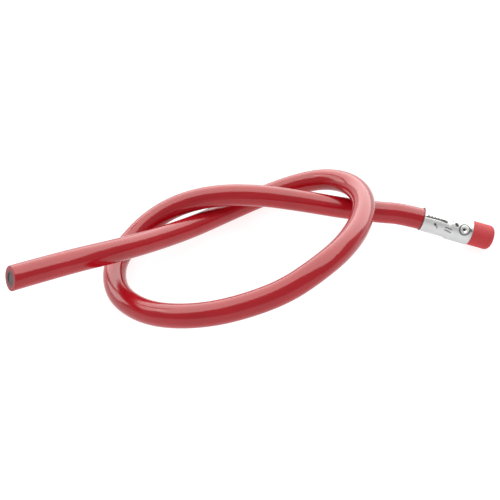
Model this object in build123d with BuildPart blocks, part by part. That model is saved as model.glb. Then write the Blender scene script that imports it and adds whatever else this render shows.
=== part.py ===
"""Flexible pencil tied in a loose overhand knot: soft barrel, soft lead, ferrule and eraser.

Millimetres, +Z up, +X from the cut tip towards the eraser. The pencil lies on the plane Z = 0,
on the low side of the left bend, on the strand that passes under the knot, and on the eraser.
The origin is the middle of the footprint.
"""
from build123d import *
import os
from math import cos, pi, radians, sin, tan

# ---- barrel and lead ----
barrel_d = 6.0              # soft vinyl barrel, outside
lead_d = 2.7                # flexible lead
lead_clearance = 0.02       # radial, between the lead and the barrel's bore

# ---- ferrule: a thin drawn tube, narrow on the barrel and wider on the eraser ----
ferrule_length = 14.0
ferrule_wall = 0.25
barrel_clearance = 0.04     # radial, between the barrel and the ferrule
barrel_seat = 6.0           # how far the barrel reaches into the ferrule
socket_depth = 6.8          # length of the narrow end's bore
flare_length = 1.2          # cone between the two bores
rim_round = 0.1             # rounding of the ferrule's two rims

# ---- eraser ----
eraser_d = 6.9              # the part that stands out of the ferrule
eraser_squeeze = 0.16       # radial, how much narrower the ferrule holds the plug
eraser_clearance = 0.065    # radial, between the squeezed plug and the ferrule
eraser_exposed = 6.5
eraser_corner = 1.3         # rounding of the free end
plug_gap = 0.4              # between the eraser's plug and the flare inside the ferrule

# ---- stake: the punched dimple that holds the eraser in the ferrule ----
stake_from_rim = 2.4        # from the eraser-side rim to the dimple's centre
stake_turn = 43.5           # degrees round the ferrule, from its highest line
stake_d = 1.5               # across the dimple, outside
stake_depth = 0.5           # from the tube's outside to the bottom of the dimple
stake_clearance = 0.08      # between the dimple's inner side and the pit in the eraser

# ---- place and heading of the ferrule ----
rim = Vector(46.0, -2.0, 7.0)    # centre of the ferrule's barrel-side rim
heading = -29.0                  # degrees, turned from +X about +Z
dip = 10.8                       # degrees below the horizontal
straight_run = 5.0               # straight stretch of barrel in front of the ferrule

# ---- route of the barrel's centreline, from the cut tip to the ferrule ----
knot_route = [
    (-64.0, -2.0, 20.0),
    (-51.0, 1.0, 18.0),
    (-39.0, 5.0, 14.0),
    (-28.0, 10.0, 9.5),
    (-16.0, 15.5, 5.5),
    (-4.0, 21.0, 3.0),
    (7.5, 24.0, 3.0),
    (17.0, 23.0, 6.0),
    (24.0, 19.5, 9.5),
    (28.0, 14.0, 12.5),
    (29.5, 7.0, 15.0),
    (27.0, -2.0, 18.0),
    (21.0, -11.0, 20.5),
    (12.5, -19.0, 22.5),
    (3.0, -23.5, 22.0),
    (-4.5, -24.5, 19.0),
    (-13.0, -23.5, 16.0),
    (-21.5, -21.5, 13.5),
    (-29.5, -17.5, 11.0),
    (-35.5, -11.5, 8.0),
    (-39.5, -3.5, 5.5),
    (-40.0, 4.0, 4.0),
    (-38.0, 11.5, 3.0),
    (-33.5, 17.0, 3.0),
    (-26.0, 21.0, 6.0),
    (-17.5, 22.0, 9.0),
    (-7.5, 20.5, 11.0),
    (4.0, 17.0, 11.0),
    (15.5, 12.5, 9.5),
    (26.0, 8.5, 7.5),
    (35.5, 3.5, 7.5),
]
arc_share = 0.45            # of the shorter run beside a corner, taken by the corner's arc

# ---- derived sizes ----
axis = Vector(cos(radians(dip)) * cos(radians(heading)),
              cos(radians(dip)) * sin(radians(heading)),
              -sin(radians(dip)))
side = Vector(0, 0, 1).cross(axis).normalized()
ferrule_top = axis.cross(side)
ferrule_plane = Plane(        # its Y direction points at the stake
    origin=rim,
    x_dir=side * cos(radians(stake_turn)) + ferrule_top * sin(radians(stake_turn)),
    z_dir=axis,
)
socket_r = barrel_d / 2 + barrel_clearance
plug_r = eraser_d / 2 - eraser_squeeze
mouth_r = plug_r + eraser_clearance
flare_end = socket_depth + flare_length
plug_start = flare_end + plug_gap

route = [Vector(*point) for point in knot_route]
route += [rim - axis * straight_run, rim + axis * barrel_seat]
os.makedirs("parts", exist_ok=True)


def corner_radii(points):
    """The largest tangent arc that each corner of the route has room for."""
    radii = []
    for before, here, after in zip(points, points[1:], points[2:]):
        shorter_run = min((here - before).length, (after - here).length)
        turn = radians((here - before).get_angle(after - here))
        radii.append(arc_share * shorter_run / tan(turn / 2))
    return radii


radii = corner_radii(route)
print("corner radii:", [round(radius, 1) for radius in radii])

# ---- centreline ----
with BuildLine() as centreline:
    FilletPolyline(*route, radius=radii)
path = centreline.wire()
start_plane = Plane(origin=path @ 0, z_dir=path % 0)
print("centreline length:", round(path.length, 2))

# ---- barrel ----
with BuildPart() as barrel:
    with BuildSketch(start_plane):
        Circle(barrel_d / 2)
        Circle(lead_d / 2 + lead_clearance, mode=Mode.SUBTRACT)
    sweep(path=path)
barrel.part.label = "barrel"

# ---- lead ----
with BuildPart() as lead:
    with BuildSketch(start_plane):
        Circle(lead_d / 2)
    sweep(path=path)
lead.part.label = "lead"

# ---- ferrule ----
stake_z = ferrule_length - stake_from_rim
stake_plane = Plane(
    origin=ferrule_plane.from_local_coords(Vector(0, mouth_r + ferrule_wall, stake_z)),
    z_dir=ferrule_plane.y_dir,
)
with BuildPart() as ferrule:
    with BuildSketch(Plane(origin=rim, x_dir=ferrule_plane.x_dir, z_dir=-ferrule_plane.y_dir)):
        with BuildLine():
            Polyline(
                (socket_r, 0),
                (socket_r, socket_depth),
                (mouth_r, flare_end),
                (mouth_r, ferrule_length),
                (mouth_r + ferrule_wall, ferrule_length),
                (mouth_r + ferrule_wall, flare_end),
                (socket_r + ferrule_wall, socket_depth),
                (socket_r + ferrule_wall, 0),
                close=True,
            )
        make_face()
    revolve(axis=Axis(rim, axis))
    fillet(ferrule.edges().filter_by(GeomType.CIRCLE).group_by(Axis(rim, axis))[0], rim_round)
    fillet(ferrule.edges().filter_by(GeomType.CIRCLE).group_by(Axis(rim, axis))[-1], rim_round)
    # the wall is pushed inwards at the stake: a boss inside, then the dimple outside
    with BuildSketch(stake_plane.offset(-ferrule_wall / 2)):
        Circle(stake_d / 2)
    extrude(amount=-(stake_depth + ferrule_wall / 2), taper=20)
    with BuildSketch(stake_plane):
        Circle(stake_d / 2 - ferrule_wall / 2)
    extrude(amount=-stake_depth, taper=20, mode=Mode.SUBTRACT)
ferrule.part.label = "ferrule"

# ---- eraser ----
with BuildPart() as eraser:
    with BuildSketch(ferrule_plane.offset(plug_start)):
        Circle(plug_r)
    extrude(amount=ferrule_length - plug_start)
    with BuildSketch(ferrule_plane.offset(ferrule_length)):
        Circle(eraser_d / 2)
    extrude(amount=eraser_exposed)
    fillet(eraser.edges().filter_by(GeomType.CIRCLE).group_by(Axis(rim, axis))[-1], eraser_corner)
    with BuildSketch(stake_plane.offset(-ferrule_wall / 2)):
        Circle(stake_d / 2 + stake_clearance)
    extrude(amount=-(stake_depth + ferrule_wall / 2 + stake_clearance), taper=20,
            mode=Mode.SUBTRACT)
eraser.part.label = "eraser"

section = pi * ((barrel_d / 2) ** 2 - (lead_d / 2 + lead_clearance) ** 2)
print("barrel volume:", round(barrel.part.volume, 1), "section x length:",
      round(section * path.length, 1))

for piece in (barrel, lead, ferrule, eraser):
    box = piece.part.bounding_box()
    print(piece.part.label, "solids", len(piece.part.solids()), "from", box.min, "to", box.max)
    export_step(piece.part, f"parts/{piece.part.label}.step")
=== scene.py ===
"""A flexible red pencil tied in a loose overhand knot, on a white studio floor.

The barrel and the lead are swept along the same route as the CAD model's. The ferrule and the
eraser are modelled upright at the origin, Z along the pencil and X towards the ferrule's highest
line, and then laid in their place at the end of the barrel.
"""
from math import atan2, cos, degrees, hypot, pi, radians, sin

import bmesh
import bpy
import numpy as np
from mathutils import Matrix, Vector


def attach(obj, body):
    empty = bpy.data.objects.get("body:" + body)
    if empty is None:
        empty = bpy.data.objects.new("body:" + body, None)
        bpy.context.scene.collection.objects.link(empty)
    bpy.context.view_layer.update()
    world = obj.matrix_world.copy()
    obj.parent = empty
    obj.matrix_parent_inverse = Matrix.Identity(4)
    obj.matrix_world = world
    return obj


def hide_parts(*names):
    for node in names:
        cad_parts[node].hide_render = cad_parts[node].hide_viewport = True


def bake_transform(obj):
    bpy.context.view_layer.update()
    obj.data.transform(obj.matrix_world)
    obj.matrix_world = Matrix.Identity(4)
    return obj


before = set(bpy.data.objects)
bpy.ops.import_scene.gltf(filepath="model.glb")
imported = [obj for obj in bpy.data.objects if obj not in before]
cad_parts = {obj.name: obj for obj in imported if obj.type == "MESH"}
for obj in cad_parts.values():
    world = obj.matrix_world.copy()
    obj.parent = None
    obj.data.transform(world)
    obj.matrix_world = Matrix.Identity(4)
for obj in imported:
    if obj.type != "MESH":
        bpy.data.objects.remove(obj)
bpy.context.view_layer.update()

MM = 0.001

# ---- sizes, as in the CAD model ----
BARREL_R = 3.0 * MM
LEAD_R = 1.35 * MM
BORE_R = 1.37 * MM
SEAT = 6.0 * MM                 # how far the barrel reaches into the ferrule
FERRULE_LENGTH = 14.0 * MM
FERRULE_WALL = 0.25 * MM
NARROW_R = 3.29 * MM            # the ferrule's outside, on the barrel
WIDE_R = 3.605 * MM             # and on the eraser
CONE = (6.8 * MM, 8.0 * MM)
PLUG_START = 8.4 * MM
PLUG_R = 3.29 * MM
ERASER_R = 3.45 * MM
ERASER_EXPOSED = 6.5 * MM
ERASER_CORNER = 1.3 * MM
RIM = Vector((0.046, -0.002, 0.007))     # centre of the ferrule's barrel-side rim
HEADING = radians(-29.0)
DIP = radians(10.8)

AXIS = Vector((cos(DIP) * cos(HEADING), cos(DIP) * sin(HEADING), -sin(DIP)))
FRONT = -Vector((0, 0, 1)).cross(AXIS).normalized()
TOP = FRONT.cross(AXIS)

# the spline's control points, from the cut tip to the barrel's end inside the ferrule
ROUTE = [
    (-0.064, -0.002, 0.02),
    (-0.051, 0.001, 0.018),
    (-0.039, 0.005, 0.014),
    (-0.028, 0.01, 0.0095),
    (-0.016, 0.0155, 0.0055),
    (-0.004, 0.021, 0.003),
    (0.0075, 0.024, 0.003),
    (0.017, 0.023, 0.006),
    (0.024, 0.0195, 0.0095),
    (0.028, 0.014, 0.0125),
    (0.0295, 0.007, 0.015),
    (0.027, -0.002, 0.018),
    (0.021, -0.011, 0.0205),
    (0.0125, -0.019, 0.0225),
    (0.003, -0.0235, 0.022),
    (-0.0045, -0.0245, 0.019),
    (-0.013, -0.0235, 0.016),
    (-0.0215, -0.0215, 0.0135),
    (-0.0295, -0.0175, 0.011),
    (-0.0355, -0.0115, 0.008),
    (-0.0395, -0.0035, 0.0055),
    (-0.04, 0.004, 0.004),
    (-0.038, 0.0115, 0.003),
    (-0.0335, 0.017, 0.003),
    (-0.026, 0.021, 0.006),
    (-0.0175, 0.022, 0.009),
    (-0.0075, 0.0205, 0.011),
    (0.004, 0.017, 0.011),
    (0.0155, 0.0125, 0.0095),
    (0.026, 0.0085, 0.0075),
    (0.0355, 0.0035, 0.0075),
    tuple(RIM - AXIS * 0.005),
    tuple(RIM + AXIS * SEAT),
]

# ---- camera ----
camera = bpy.data.objects.new("camera", bpy.data.cameras.new("camera"))
bpy.context.collection.objects.link(camera)
camera.location = (-0.053748, -0.128856, 0.153555)
camera.rotation_euler = (radians(43.54158), radians(-1.66082), radians(-19.3276))
camera.data.lens = 54.72
camera.data.sensor_width = 36.0
camera.data.clip_start = 0.01
bpy.context.scene.camera = camera


# ---- barrel and lead ----
BARREL_SIDES, LEAD_SIDES = 64, 40
EDGE = 0.22 * MM                # rounding of the barrel's cut ends
TIP_SLANT = 0.23                # the tip is cut a little aslant: its top is set back
SLANT_REACH = 5.0 * MM
LEAD_RECESS = 0.15 * MM


def smooth_line(points):
    """The smooth line of a spline that has these points as its control points."""
    curve = bpy.data.curves.new("pencil_line", "CURVE")
    curve.dimensions = "3D"
    curve.resolution_u = 16
    spline = curve.splines.new("NURBS")
    spline.points.add(len(points) - 1)
    for spot, point in zip(spline.points, points):
        spot.co = (*point, 1.0)
    spline.order_u = 3
    spline.use_endpoint_u = True
    guide = bpy.data.objects.new("pencil_line", curve)
    bpy.context.collection.objects.link(guide)
    bpy.context.view_layer.update()
    line = bpy.data.meshes.new_from_object(guide)
    places = [vertex.co.copy() for vertex in line.vertices]
    bpy.data.objects.remove(guide)
    bpy.data.curves.remove(curve)
    bpy.data.meshes.remove(line)
    return places


def carried_frames(line):
    """Tangent and two cross directions at each place, carried along without twisting."""
    frames = []
    across = Vector((0, 0, 1))
    for number in range(len(line)):
        before, after = line[max(number - 1, 0)], line[min(number + 1, len(line) - 1)]
        tangent = (after - before).normalized()
        across = (across - tangent * across.dot(tangent)).normalized()
        frames.append((tangent, across, tangent.cross(across)))
    return frames


def sweep(name, line, rings, sides, closed):
    """A skin through rings along a line. A ring is (place in the line, shift along it, radius, cut)."""
    frames = carried_frames(line)
    run = [0.0]
    for here, after in zip(line, line[1:]):
        run.append(run[-1] + (after - here).length)
    points, straight, cut = [], [], []
    for number, shift, radius, is_cut in rings:
        tangent, across, other = frames[number]
        slant = TIP_SLANT * max(0.0, 1 - run[number] / SLANT_REACH)
        for side in range(sides):
            turn = 2 * pi * side / sides
            points.append(line[number] + tangent * (shift + slant * radius * cos(turn))
                          + (across * cos(turn) + other * sin(turn)) * radius)
            straight.append((radius * cos(turn), radius * sin(turn), run[number] + shift))
            cut.append(is_cut)
    faces = []
    steps = len(rings) if closed else len(rings) - 1
    for ring in range(steps):
        this, following = ring * sides, (ring + 1) % len(rings) * sides
        for side in range(sides):
            beside = (side + 1) % sides
            faces.append((this + side, this + beside, following + beside, following + side))
    if not closed:
        last = (len(rings) - 1) * sides
        faces.append(tuple(range(sides - 1, -1, -1)))
        faces.append(tuple(range(last, last + sides)))
    mesh = bpy.data.meshes.new(name)
    mesh.from_pydata(points, [], faces)
    mesh.attributes.new("straight", "FLOAT_VECTOR", "POINT").data.foreach_set(
        "vector", np.array(straight, np.float32).ravel())
    mesh.attributes.new("cut", "FLOAT", "POINT").data.foreach_set(
        "value", np.array(cut, np.float32))
    mesh.shade_smooth()
    piece = bpy.data.objects.new(name, mesh)
    bpy.context.collection.objects.link(piece)
    return piece


line = smooth_line(ROUTE)
last = len(line) - 1
QUARTER = [radians(angle) for angle in (0, 22.5, 45, 67.5, 90)]

outside = [(0, EDGE * (1 - cos(a)), BARREL_R - EDGE * (1 - sin(a)), 1 - a / QUARTER[-1])
           for a in QUARTER]
outside += [(number, 0.0, BARREL_R, 0.0) for number in range(1, last)]
outside += [(last, -EDGE * (1 - cos(a)), BARREL_R - EDGE * (1 - sin(a)), 1 - a / QUARTER[-1])
            for a in reversed(QUARTER)]
face_steps = [BARREL_R - EDGE - 0.15 * MM, 2.2 * MM, BORE_R + 0.2 * MM, BORE_R + 0.05 * MM]
end_face = [(last, 0.0, radius, 1.0) for radius in face_steps]
bore = [(last, -0.05 * MM, BORE_R, 1.0)]
bore += [(number, 0.0, BORE_R, 1.0) for number in range(last - 1, 0, -1)]
bore += [(0, 0.05 * MM, BORE_R, 1.0)]
tip_face = [(0, 0.0, radius, 1.0) for radius in reversed(face_steps)]
barrel = sweep("barrel_skin", line, outside + end_face + bore + tip_face, BARREL_SIDES, True)

rod = [(0, LEAD_RECESS, radius * MM, 1.0) for radius in (0.15, 0.6, 1.0, 1.25)]
rod += [(0, LEAD_RECESS + 0.03 * MM, 1.32 * MM, 1.0), (0, LEAD_RECESS + 0.08 * MM, LEAD_R, 0.0)]
rod += [(number, 0.0, LEAD_R, 0.0) for number in range(1, last)]
rod += [(last, -0.08 * MM, LEAD_R, 0.0), (last, -0.03 * MM, 1.32 * MM, 1.0)]
rod += [(last, 0.0, radius * MM, 1.0) for radius in (1.25, 1.0, 0.6, 0.15)]
lead = sweep("lead_core", line, rod, LEAD_SIDES, False)


# ---- ferrule ----
FERRULE_SIDES, FERRULE_CUTS = 240, (1, 77)
NARROW_SKIN, WIDE_SKIN = 3.3, 3.57     # mm, radii on which the marks are measured out,
SKIN_CHANGE = 7.0                      # below and above this distance from the barrel-side rim
RIM_ROLL, RIM_REACH = 0.07, 0.35       # mm, how far the two rims are rolled in, and over what length


def smoothstep(low, high, value):
    share = min(max((value - low) / (high - low), 0.0), 1.0)
    return share * share * (3 - 2 * share)


def upright_cylinder(name, radius, low, high, sides, caps):
    bpy.ops.object.select_all(action="DESELECT")
    bpy.ops.mesh.primitive_cylinder_add(
        vertices=sides, radius=radius, depth=high - low, end_fill_type=caps,
        location=(0, 0, (low + high) / 2))
    piece = bpy.context.object
    piece.name = piece.data.name = name
    bpy.ops.object.transform_apply(location=True, rotation=True, scale=True)
    return piece


def select_edges(mesh, wanted):
    """In edit mode, selects only the edges that the test says yes to."""
    bpy.ops.mesh.select_all(action="DESELECT")
    work = bmesh.from_edit_mesh(mesh)
    for edge in work.edges:
        if wanted(edge):
            edge.select_set(True)
    work.select_flush_mode()
    bmesh.update_edit_mesh(mesh)


def is_upright(edge):
    a, b = (vertex.co for vertex in edge.verts)
    return abs(a.z - b.z) > 0.9 * (a - b).length and (a - b).length > 1e-6


def distance_to_run(point, start, end):
    """Distance in a plane from a point to the straight run between two others."""
    run = (end[0] - start[0], end[1] - start[1])
    length2 = run[0] ** 2 + run[1] ** 2
    share = 0.0
    if length2 > 0:
        share = ((point[0] - start[0]) * run[0] + (point[1] - start[1]) * run[1]) / length2
        share = min(max(share, 0.0), 1.0)
    return hypot(point[0] - start[0] - share * run[0], point[1] - start[1] - share * run[1])


# A mark is pressed along a row of points: (mm from the barrel-side rim, degrees from the top
# line towards the front), with its width and depth in mm and how dark it is painted: painted shade and
# dirt in the pressed mark.
SAW = []
for tooth in range(6):
    SAW += [(0.7 + tooth * 0.92, 31.5), (1.15 + tooth * 0.92, 25.0)]
MARKS = [
    (SAW, 0.3, 0.07, 0.92),
    ([(0.3, 32.0), (5.6, 31.5)], 0.26, 0.05, 0.88),
    ([(5.5, 30.0), (6.3, 32.0)], 0.6, 0.09, 0.92),
    ([(3.3, 55.0), (3.5, 58.5)], 0.5, 0.14, 0.96),
    ([(3.6, 60.0), (4.15, 66.0), (4.1, 72.0)], 0.24, 0.06, 0.7),
    ([(6.4, 56.0), (8.1, 58.5)], 0.25, 0.07, 0.85),
    ([(6.4, 70.0), (8.1, 73.0)], 0.25, 0.07, 0.8),
    ([(6.6, 20.0), (8.3, 21.0)], 0.2, 0.04, 0.6),
    ([(6.6, 12.5), (8.3, 13.5)], 0.2, 0.04, 0.6),
    ([(6.6, 5.0), (8.3, 6.0)], 0.2, 0.04, 0.6),
    ([(9.1, 31.0), (9.35, 35.0)], 0.7, 0.12, 0.95),
    ([(13.3, 38.0), (13.5, 42.0)], 0.6, 0.1, 0.8),
    ([(0.1, -38.0), (0.25, -34.0)], 0.35, 0.08, 0.95),
]
STAKE = (11.6, 43.5)
STAKE_R, STAKE_DEPTH = 0.75, 0.5


def on_skin(z, turn, radius):
    """Distances along and round the ferrule, in mm."""
    return (z, radius * radians(turn))


def pressed(z, turn):
    """How deep the ferrule's wall is pressed in, in mm, and how dark it is painted there: painted shade
    and dirt in the marks, painted shade in and round the stake's dimple.
    """
    radius = NARROW_SKIN if z < SKIN_CHANGE else WIDE_SKIN
    here = on_skin(z, turn, radius)
    depth = shade_and_dirt_here = 0.0
    for row, width, deep, shade_and_dirt_level in MARKS:
        if not row[0][0] - 2.5 < z < row[-1][0] + 2.5:
            continue
        places = [on_skin(*point, radius) for point in row]
        away = min(distance_to_run(here, a, b) for a, b in zip(places, places[1:]))
        share = 1 - smoothstep(0.0, width, away)
        depth += deep * share
        shade_and_dirt_here = max(shade_and_dirt_here, shade_and_dirt_level * (1 - smoothstep(0.2 * width, width, away)))
    away = distance_to_run(here, on_skin(*STAKE, radius), on_skin(*STAKE, radius))
    depth += STAKE_DEPTH * (1 - smoothstep(0.1, STAKE_R, away))
    depth -= 0.1 * smoothstep(0.65, 0.95, away) * (1 - smoothstep(0.95, 1.75, away))
    # painted shade in the stake's dimple, and on the outer slope of the raised lip round it
    shade_and_dirt_here = max(shade_and_dirt_here, 1 - smoothstep(0.2, 0.62, away),
               0.9 * smoothstep(1.1, 1.35, away) * (1 - smoothstep(1.45, 1.8, away)))
    return depth, shade_and_dirt_here


ferrule = upright_cylinder("ferrule_shell", NARROW_R, 0.0, FERRULE_LENGTH, FERRULE_SIDES,
                           "NOTHING")
bpy.ops.object.mode_set(mode="EDIT")
bpy.ops.mesh.select_mode(type="EDGE")
for cuts in FERRULE_CUTS:
    select_edges(ferrule.data, is_upright)
    bpy.ops.mesh.subdivide(number_cuts=cuts)
bpy.ops.object.mode_set(mode="OBJECT")

shade_and_dirt_per_point = []
for vertex in ferrule.data.vertices:
    z = vertex.co.z / MM
    turn = atan2(vertex.co.y, vertex.co.x)
    radius = NARROW_R + (WIDE_R - NARROW_R) * smoothstep(*CONE, vertex.co.z)
    from_far_rim = FERRULE_LENGTH / MM - z
    radius -= RIM_ROLL * MM * (1 - smoothstep(0.0, RIM_REACH, min(z, from_far_rim)))
    depth, shade_and_dirt_here = pressed(z, degrees(turn))
    radius -= depth * MM
    # painted shadow in a thin line along the barrel-side rim, and fainter along the eraser-side rim, on
    # top of the painted shade and dirt in the marks
    shade_and_dirt_per_point.append(max(shade_and_dirt_here, 0.9 * (1 - smoothstep(0.05, 0.2, z)),
                     0.6 * (1 - smoothstep(0.0, 0.15, from_far_rim))))
    vertex.co.x, vertex.co.y = radius * cos(turn), radius * sin(turn)
ferrule.data.attributes.new("shade_and_dirt", "FLOAT", "POINT").data.foreach_set(
    "value", np.array(shade_and_dirt_per_point, np.float32))
wall = ferrule.modifiers.new("wall", "SOLIDIFY")
wall.thickness = FERRULE_WALL
wall.offset = -1
wall.use_even_offset = True
bpy.ops.object.modifier_apply(modifier=wall.name)


# ---- eraser ----
ERASER_SIDES = 120
eraser = upright_cylinder("eraser_plug", PLUG_R, PLUG_START, FERRULE_LENGTH, ERASER_SIDES, "NGON")
bpy.ops.object.mode_set(mode="EDIT")
bpy.ops.mesh.select_mode(type="FACE")
bpy.ops.mesh.select_all(action="DESELECT")
work = bmesh.from_edit_mesh(eraser.data)
for face in work.faces:
    face.select_set(face.normal.z > 0.9)
bmesh.update_edit_mesh(eraser.data)
bpy.ops.mesh.extrude_region_move()
bpy.ops.transform.resize(value=(ERASER_R / PLUG_R, ERASER_R / PLUG_R, 1))
bpy.ops.mesh.extrude_region_move(TRANSFORM_OT_translate={"value": (0, 0, ERASER_EXPOSED)})
bpy.ops.mesh.bevel(offset=ERASER_CORNER, segments=10, affect="EDGES")
bpy.ops.mesh.select_mode(type="EDGE")
select_edges(eraser.data, is_upright)
bpy.ops.mesh.subdivide(number_cuts=24)
bpy.ops.object.mode_set(mode="OBJECT")
for vertex in eraser.data.vertices:     # the plug gives way where the ferrule is pressed in
    place = vertex.co
    if place.z < FERRULE_LENGTH - 0.01 * MM:
        depth, shade_and_dirt_here = pressed(place.z / MM, degrees(atan2(place.y, place.x)))
        room = WIDE_R - FERRULE_WALL - (0.06 + 1.3 * depth) * MM
        radius = hypot(place.x, place.y)
        if radius > room:
            place.x, place.y = place.x * room / radius, place.y * room / radius


def lay_in_place(piece):
    """Keeps where each point was on the upright piece, and lays the piece at the barrel's end."""
    upright = np.empty(len(piece.data.vertices) * 3, np.float32)
    piece.data.vertices.foreach_get("co", upright)
    piece.data.attributes.new("straight", "FLOAT_VECTOR", "POINT").data.foreach_set(
        "vector", upright)
    turned = Matrix((TOP, FRONT, AXIS)).transposed().to_4x4()
    piece.data.transform(Matrix.Translation(RIM) @ turned)
    bpy.ops.object.select_all(action="DESELECT")
    piece.select_set(True)
    bpy.context.view_layer.objects.active = piece
    bpy.ops.object.shade_smooth_by_angle(angle=radians(38))


lay_in_place(ferrule)
lay_in_place(eraser)


# ---- finishes ----
class Socket:
    """An output of a node. Sums and products with it add Math nodes."""

    def __init__(self, finish, output):
        self.finish, self.output = finish, output

    def math(self, operation, first, second):
        return self.finish.add("ShaderNodeMath", {"operation": operation}, {0: first, 1: second})

    def __add__(self, other):
        return self.math("ADD", self, other)

    def __mul__(self, other):
        return self.math("MULTIPLY", self, other)

    __radd__, __rmul__ = __add__, __mul__


class Finish:
    """A material and the nodes that make it."""

    def __init__(self, name, **constants):
        self.material = bpy.data.materials.new(name)
        self.material.use_nodes = True
        self.tree = self.material.node_tree
        self.shader = self.tree.nodes["Principled BSDF"]
        for socket, value in constants.items():
            self.shader.inputs[socket.replace("_", " ").title().replace("Ior", "IOR")
                               ].default_value = value

    def add(self, kind, settings, sockets, output=0):
        node = self.tree.nodes.new(kind)
        for name, value in settings.items():
            setattr(node, name, value)
        for name, value in sockets.items():
            self.feed(node.inputs[name], value)
        return Socket(self, node.outputs[output])

    def feed(self, socket, value):
        if isinstance(value, Socket):
            self.tree.links.new(value.output, socket)
        else:
            socket.default_value = value

    def straight(self, stretch=(1, 1, 1)):
        """Places on the straight pencil, scaled along each direction."""
        place = self.add("ShaderNodeAttribute", {"attribute_name": "straight"}, {}, "Vector")
        return self.add("ShaderNodeMapping", {}, {"Vector": place, "Scale": stretch})

    def value(self, name):
        return self.add("ShaderNodeAttribute", {"attribute_name": name}, {}, "Fac")

    def noise(self, places, scale, detail=2.0, roughness=0.5):
        return self.add("ShaderNodeTexNoise", {}, {
            "Vector": places, "Scale": scale, "Detail": detail, "Roughness": roughness}, "Fac")

    def spread(self, value, low, high):
        """0 at the low value, 1 at the high one."""
        return self.add("ShaderNodeMapRange", {}, {
            "Value": value, "From Min": low, "From Max": high}, "Result")

    def blend(self, share, first, second):
        return self.add("ShaderNodeMix", {"data_type": "RGBA"},
                        {"Factor": share, 6: first, 7: second}, 2)

    def bump(self, height, strength, distance):
        return self.add("ShaderNodeBump", {}, {
            "Height": height, "Strength": strength, "Distance": distance}, "Normal")

    def set(self, **sockets):
        for name, value in sockets.items():
            self.feed(self.shader.inputs[name.replace("_", " ").title()], value)


RED = (0.43, 0.003, 0.011, 1)
DEEP_RED = (0.38, 0.002, 0.009, 1)
CUT_RED = (0.33, 0.012, 0.018, 1)
# painted shade for the cut faces, round the lead
PAINTED_SHADE_NEAR_LEAD = (0.06, 0.006, 0.008, 1)

vinyl = Finish("glossy_red_vinyl", ior=1.52)
cut = vinyl.value("cut")
cloud = vinyl.noise(vinyl.straight(), 130.0, 3.0)
streaks = vinyl.noise(vinyl.straight((1, 1, 0.06)), 2400.0, 2.0)
waves = vinyl.noise(vinyl.straight((1, 1, 0.3)), 420.0, 2.0)
grain = vinyl.noise(vinyl.straight(), 5200.0, 3.0, 0.6)
colour = vinyl.blend(vinyl.spread(cloud, 0.35, 0.65), RED, DEEP_RED)
# the cut faces go from their own red to a painted shade round the lead, at the bore's edge
from_lead = vinyl.add("ShaderNodeVectorMath", {"operation": "LENGTH"},
                      {"Vector": vinyl.straight((1, 1, 0))}, "Value")
cut_colour = vinyl.blend(vinyl.spread(from_lead, 1.5 * MM, 2.4 * MM), PAINTED_SHADE_NEAR_LEAD, CUT_RED)
vinyl.set(
    base_color=vinyl.blend(cut, colour, cut_colour),
    roughness=0.08 + 0.10 * streaks + 0.06 * grain + 0.35 * cut,
    normal=vinyl.bump(waves * 0.7 + streaks * 0.12 + grain * 0.12 + grain * cut * 3.0, 0.35,
                      0.06 * MM),
)

graphite = Finish("soft_graphite", ior=1.6)
grain = graphite.noise(graphite.straight(), 6500.0, 4.0, 0.65)
patches = graphite.noise(graphite.straight(), 1400.0, 2.0)
graphite.set(
    base_color=graphite.blend(patches, (0.028, 0.032, 0.031, 1), (0.062, 0.07, 0.068, 1)),
    roughness=0.5 + 0.25 * grain,
    normal=graphite.bump(grain, 0.6, 0.05 * MM),
)

aluminium = Finish("drawn_aluminium", metallic=1.0)
# the aluminium goes near black where this is high: painted shade and dirt in the pressed marks, painted
# shade in the stake's dimple, painted shadow along the rims
shade_and_dirt = aluminium.value("shade_and_dirt")
drawn = aluminium.noise(aluminium.straight((1, 1, 0.05)), 3200.0, 3.0)
satin = aluminium.noise(aluminium.straight(), 4200.0, 3.0, 0.6)
smudge = aluminium.noise(aluminium.straight(), 330.0, 2.0)
bright = aluminium.blend(smudge, (0.68, 0.685, 0.69, 1), (0.58, 0.585, 0.59, 1))
aluminium.set(
    base_color=aluminium.blend(shade_and_dirt, bright, (0.02, 0.022, 0.022, 1)),
    roughness=0.38 + 0.12 * drawn + 0.08 * satin + 0.1 * shade_and_dirt,
    normal=aluminium.bump(drawn * 0.6 + satin * 0.4, 0.25, 0.03 * MM),
)

rubber = Finish("red_rubber", ior=1.45)
grain = rubber.noise(rubber.straight(), 3800.0, 4.0, 0.62)
mottle = rubber.noise(rubber.straight(), 520.0, 3.0)
bloom = rubber.spread(rubber.noise(rubber.straight(), 1500.0, 3.0), 0.5, 0.75)
body_red = rubber.blend(mottle, (0.56, 0.036, 0.044, 1), (0.51, 0.027, 0.035, 1))
rubber.set(
    base_color=rubber.blend(bloom * 0.2, body_red, (0.62, 0.12, 0.12, 1)),
    roughness=0.58 + 0.16 * grain,
    normal=rubber.bump(grain, 0.28, 0.05 * MM),
)

for piece, finish, node, slot in (
        (barrel, vinyl, "barrel", "red_vinyl"), (lead, graphite, "lead", "soft_lead"),
        (ferrule, aluminium, "ferrule", "aluminium"), (eraser, rubber, "eraser", "red_rubber")):
    piece.data.materials.clear()
    piece.data.materials.append(finish.material)
    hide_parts(node)

for piece in (barrel, lead):     # they flex between the knot and the ferrule
    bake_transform(piece)
for piece in (ferrule, eraser):
    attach(piece, "eraser_end")

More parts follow.
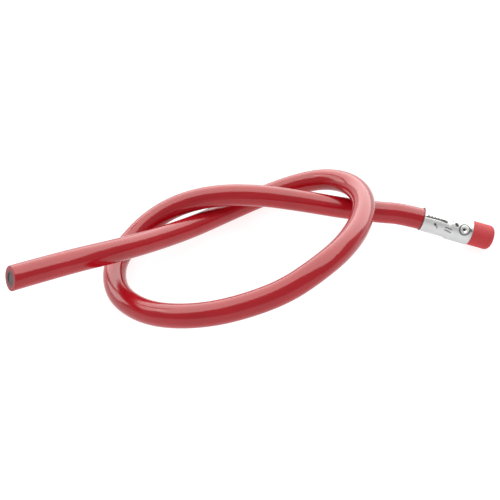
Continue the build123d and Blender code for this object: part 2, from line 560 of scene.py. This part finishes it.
# ---- floor and lights ----
bpy.ops.object.select_all(action="DESELECT")
bpy.ops.mesh.primitive_plane_add(size=8, location=(0, 0, -0.0001))
floor = bpy.context.object
floor.name = "floor"
white = Finish("white_floor", roughness=0.9, specular_ior_level=0.0)
white.set(base_color=(0.34, 0.34, 0.34, 1), emission_color=(1, 1, 1, 1), emission_strength=0.85)
floor.data.materials.append(white.material)

BACK = Vector((-camera.matrix_basis.col[2].x, -camera.matrix_basis.col[2].y, 0)).normalized()
RIGHT = Vector((BACK.y, -BACK.x, 0))


def panel(name, centre, across, up, width, height, radiance, soft=True, tint=(1, 1, 1)):
    """An even panel of light with its face to the object, soft or only seen in reflections."""
    light = bpy.data.lights.new(name, "AREA")
    light.shape = "RECTANGLE"
    light.size, light.size_y = width, height
    light.energy = radiance * pi * width * height
    light.color = tint
    lamp = bpy.data.objects.new(name, light)
    bpy.context.collection.objects.link(lamp)
    out = across.cross(up)
    if out.dot(centre) < 0:       # a lamp shines along its own -Z
        across, out = -across, -out
    lamp.matrix_world = (Matrix.Translation(centre)
                         @ Matrix((across, up, out)).transposed().to_4x4())
    lamp.visible_camera = False
    lamp.visible_diffuse = soft


UP = Vector((0, 0, 1))
# a tent of white cloth over and behind the object, from the left side round to the right;
# its sheen is a little further out, so that the two never lie in one plane
for name, size, radiance, soft, tint in (("tent", 1.0, 1.1, True, (1, 1, 1)),
                                         ("tent_sheen", 1.05, 2.4, False, (1, 0.97, 0.91))):
    panel(name + "_roof", (UP * 2.0 + BACK * 0.57 - RIGHT * 0.3) * size, RIGHT, BACK,
          4.6 * size, 1.86 * size, radiance, soft, tint)
    panel(name + "_back", (UP * 1.0 + BACK * 1.5 + RIGHT * 0.2) * size, RIGHT, UP,
          3.8 * size, 2.0 * size, radiance, soft, tint)
    panel(name + "_left", (UP * 1.0 + BACK * 0.9 - RIGHT * 2.3) * size, BACK, UP,
          1.2 * size, 2.0 * size, radiance, soft, tint)
panel("front_strip", UP * 0.2 - BACK * 1.5, RIGHT, UP, 5.0, 0.4, 0.7)
world = bpy.context.scene.world or bpy.data.worlds.new("studio")
bpy.context.scene.world = world
world.use_nodes = True
world.node_tree.nodes["Background"].inputs["Color"].default_value = (1, 1, 1, 1)
world.node_tree.nodes["Background"].inputs["Strength"].default_value = 0.5
bpy.context.scene.view_settings.view_transform = "Standard"
